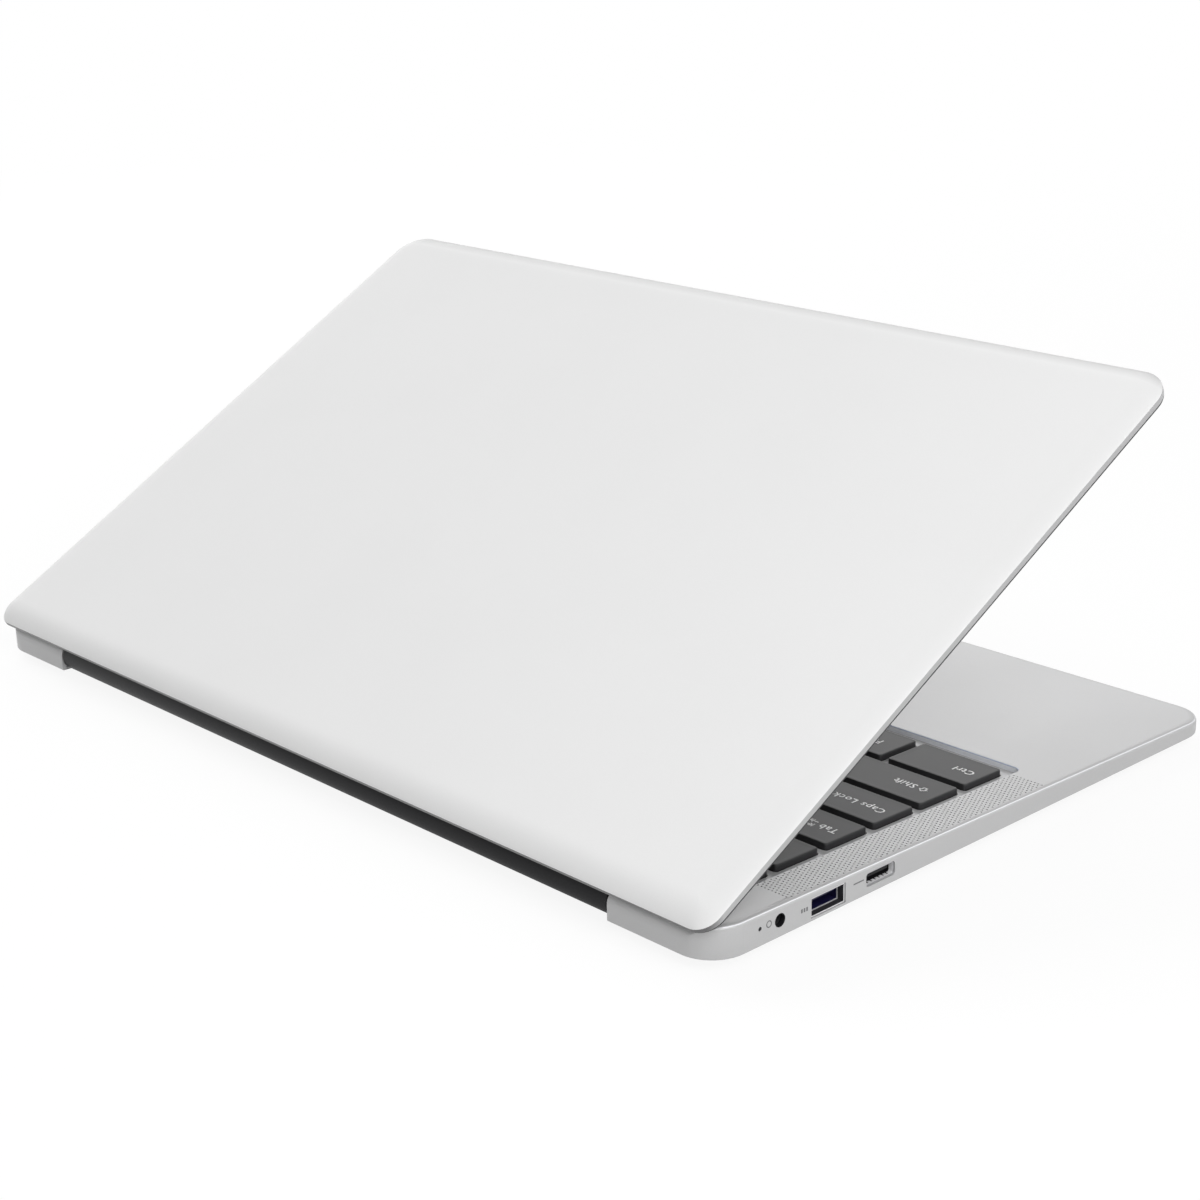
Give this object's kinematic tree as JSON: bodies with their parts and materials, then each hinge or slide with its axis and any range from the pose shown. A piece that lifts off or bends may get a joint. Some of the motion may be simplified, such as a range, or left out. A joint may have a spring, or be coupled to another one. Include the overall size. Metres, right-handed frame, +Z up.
{
  "type": "laptop computer",
  "caption": "Slim silver laptop computer with a wedge-shaped base, black island keyboard, touchpad and a drop-hinged lid drawn partly open.",
  "frame": {"origin": "on the resting plane, under the middle of the base", "axes": "+X to the user's right, +Y towards the rear and the hinge, +Z up"},
  "size_m": [0.333, 0.2154, 0.1159],
  "materials": {
    "case_silver": "fine blasted, silver anodised, with a bright cut edge round the deck",
    "lid_silver": "satin silver-white paint",
    "cover_grey": "satin silver-grey paint",
    "rubber_dark": "matte",
    "screw_steel": "nickel plated",
    "plate_steel": "bare sheet",
    "key_black": "fine matte",
    "bezel_black": "fine matte",
    "hinge_black": "fine grained, matte",
    "panel_glass": "dark display, anti-glare",
    "touchpad_grey": "smooth satin film",
    "board_green": "solder mask",
    "chip_black": "moulded",
    "spreader_copper": "thin copper sheet",
    "battery_black": "wrapped pouch cells",
    "port_metal": "plated sheet",
    "jack_black": "moulded",
    "hinge_steel": "pressed and plated",
    "light_pipe": "clear light guide",
    "ribbon_white": "flat cable",
    "camera_dark": "moulded with a clear lens"
  },
  "bodies": {
    "base": {"top_case": "case_silver", "bottom_cover": "cover_grey", "rubber_feet": "rubber_dark", "bottom_screws": "screw_steel", "keyboard_plate": "plate_steel", "motherboard": "board_green", "processor_chips": "chip_black", "heat_spreader": "spreader_copper", "storage_card": "board_green", "wifi_card": "board_green", "battery_pack": "battery_black", "speaker_left": "chip_black", "speaker_right": "chip_black", "io_board": "board_green", "io_ribbon": "ribbon_white", "power_jack": "jack_black", "usb_port_left": "port_metal", "video_port": "port_metal", "charge_light": "light_pipe", "usb_port_right": "port_metal", "card_slot": "port_metal", "headphone_jack": "jack_black", "hinge_bracket_left": "hinge_steel", "hinge_bracket_right": "hinge_steel", "touchpad_bracket": "plate_steel"},
    "touchpad": {"touchpad": "touchpad_grey"},
    "lid": {"lid_back_cover": "lid_silver", "screen_bezel": "bezel_black", "display_panel": "panel_glass", "bezel_bumpers": "rubber_dark", "webcam": "camera_dark", "wifi_antennas": "ribbon_white", "display_cable": "jack_black", "hinge_cover": "hinge_black", "hinge_arm_left": "hinge_steel", "hinge_arm_right": "hinge_steel", "lid_screws": "screw_steel"},
    "key_escape": {"key_escape": "key_black"},
    "function_keys": {"function_keys": "key_black"},
    "key_power": {"key_power": "key_black"},
    "key_backquote": {"key_backquote": "key_black"},
    "number_keys": {"number_keys": "key_black"},
    "key_backspace": {"key_backspace": "key_black"},
    "key_tab": {"key_tab": "key_black"},
    "upper_letter_keys": {"upper_letter_keys": "key_black"},
    "key_caps_lock": {"key_caps_lock": "key_black"},
    "home_letter_keys": {"home_letter_keys": "key_black"},
    "key_enter": {"key_enter": "key_black"},
    "key_shift_left": {"key_shift_left": "key_black"},
    "lower_letter_keys": {"lower_letter_keys": "key_black"},
    "key_shift_right": {"key_shift_right": "key_black"},
    "key_ctrl_left": {"key_ctrl_left": "key_black"},
    "modifier_keys": {"modifier_keys": "key_black"},
    "key_space": {"key_space": "key_black"},
    "navigation_keys": {"navigation_keys": "key_black"},
    "key_arrow_up": {"key_arrow_up": "key_black"},
    "key_arrow_left": {"key_arrow_left": "key_black"},
    "key_arrow_down": {"key_arrow_down": "key_black"},
    "key_arrow_right": {"key_arrow_right": "key_black"}
  },
  "joints": [
    {"name": "lid_hinge", "type": "hinge", "parent": "base", "child": "lid", "pos_m": [0, 0.1019, 0.0077], "axis": [-1, 0, 0], "range_deg": [-29.9, 91]},
    {"name": "touchpad_click", "type": "hinge", "parent": "base", "child": "touchpad", "pos_m": [0, -0.037, 0.00823], "axis": [1, 0, 0], "range_deg": [0, 0.45], "stiffness_Nm_per_rad": 4, "springref_deg": -0.34},
    {"name": "key_escape_press", "type": "slide", "parent": "base", "child": "key_escape", "axis": [0, 0.0221, -0.9998], "range_m": [0, 0.0012], "stiffness_N_per_m": 400, "springref_m": -0.0006},
    {"name": "function_keys_press", "type": "slide", "parent": "base", "child": "function_keys", "axis": [0, 0.0221, -0.9998], "range_m": [0, 0.0012], "stiffness_N_per_m": 5600, "springref_m": -0.0006},
    {"name": "key_power_press", "type": "slide", "parent": "base", "child": "key_power", "axis": [0, 0.0221, -0.9998], "range_m": [0, 0.0012], "stiffness_N_per_m": 400, "springref_m": -0.0006},
    {"name": "key_backquote_press", "type": "slide", "parent": "base", "child": "key_backquote", "axis": [0, 0.0221, -0.9998], "range_m": [0, 0.0012], "stiffness_N_per_m": 400, "springref_m": -0.0006},
    {"name": "number_keys_press", "type": "slide", "parent": "base", "child": "number_keys", "axis": [0, 0.0221, -0.9998], "range_m": [0, 0.0012], "stiffness_N_per_m": 4800, "springref_m": -0.0006},
    {"name": "key_backspace_press", "type": "slide", "parent": "base", "child": "key_backspace", "axis": [0, 0.0221, -0.9998], "range_m": [0, 0.0012], "stiffness_N_per_m": 400, "springref_m": -0.0006},
    {"name": "key_tab_press", "type": "slide", "parent": "base", "child": "key_tab", "axis": [0, 0.0221, -0.9998], "range_m": [0, 0.0012], "stiffness_N_per_m": 400, "springref_m": -0.0006},
    {"name": "upper_letter_keys_press", "type": "slide", "parent": "base", "child": "upper_letter_keys", "axis": [0, 0.0221, -0.9998], "range_m": [0, 0.0012], "stiffness_N_per_m": 5200, "springref_m": -0.0006},
    {"name": "key_caps_lock_press", "type": "slide", "parent": "base", "child": "key_caps_lock", "axis": [0, 0.0221, -0.9998], "range_m": [0, 0.0012], "stiffness_N_per_m": 400, "springref_m": -0.0006},
    {"name": "home_letter_keys_press", "type": "slide", "parent": "base", "child": "home_letter_keys", "axis": [0, 0.0221, -0.9998], "range_m": [0, 0.0012], "stiffness_N_per_m": 4400, "springref_m": -0.0006},
    {"name": "key_enter_press", "type": "slide", "parent": "base", "child": "key_enter", "axis": [0, 0.0221, -0.9998], "range_m": [0, 0.0012], "stiffness_N_per_m": 400, "springref_m": -0.0006},
    {"name": "key_shift_left_press", "type": "slide", "parent": "base", "child": "key_shift_left", "axis": [0, 0.0221, -0.9998], "range_m": [0, 0.0012], "stiffness_N_per_m": 400, "springref_m": -0.0006},
    {"name": "lower_letter_keys_press", "type": "slide", "parent": "base", "child": "lower_letter_keys", "axis": [0, 0.0221, -0.9998], "range_m": [0, 0.0012], "stiffness_N_per_m": 4000, "springref_m": -0.0006},
    {"name": "key_shift_right_press", "type": "slide", "parent": "base", "child": "key_shift_right", "axis": [0, 0.0221, -0.9998], "range_m": [0, 0.0012], "stiffness_N_per_m": 400, "springref_m": -0.0006},
    {"name": "key_ctrl_left_press", "type": "slide", "parent": "base", "child": "key_ctrl_left", "axis": [0, 0.0221, -0.9998], "range_m": [0, 0.0012], "stiffness_N_per_m": 400, "springref_m": -0.0006},
    {"name": "modifier_keys_press", "type": "slide", "parent": "base", "child": "modifier_keys", "axis": [0, 0.0221, -0.9998], "range_m": [0, 0.0012], "stiffness_N_per_m": 2400, "springref_m": -0.0006},
    {"name": "key_space_press", "type": "slide", "parent": "base", "child": "key_space", "axis": [0, 0.0221, -0.9998], "range_m": [0, 0.0012], "stiffness_N_per_m": 400, "springref_m": -0.0006},
    {"name": "navigation_keys_press", "type": "slide", "parent": "base", "child": "navigation_keys", "axis": [0, 0.0221, -0.9998], "range_m": [0, 0.0012], "stiffness_N_per_m": 1600, "springref_m": -0.0006},
    {"name": "key_arrow_up_press", "type": "slide", "parent": "base", "child": "key_arrow_up", "axis": [0, 0.0221, -0.9998], "range_m": [0, 0.0012], "stiffness_N_per_m": 400, "springref_m": -0.0006},
    {"name": "key_arrow_left_press", "type": "slide", "parent": "base", "child": "key_arrow_left", "axis": [0, 0.0221, -0.9998], "range_m": [0, 0.0012], "stiffness_N_per_m": 400, "springref_m": -0.0006},
    {"name": "key_arrow_down_press", "type": "slide", "parent": "base", "child": "key_arrow_down", "axis": [0, 0.0221, -0.9998], "range_m": [0, 0.0012], "stiffness_N_per_m": 400, "springref_m": -0.0006},
    {"name": "key_arrow_right_press", "type": "slide", "parent": "base", "child": "key_arrow_right", "axis": [0, 0.0221, -0.9998], "range_m": [0, 0.0012], "stiffness_N_per_m": 400, "springref_m": -0.0006}
  ]
}
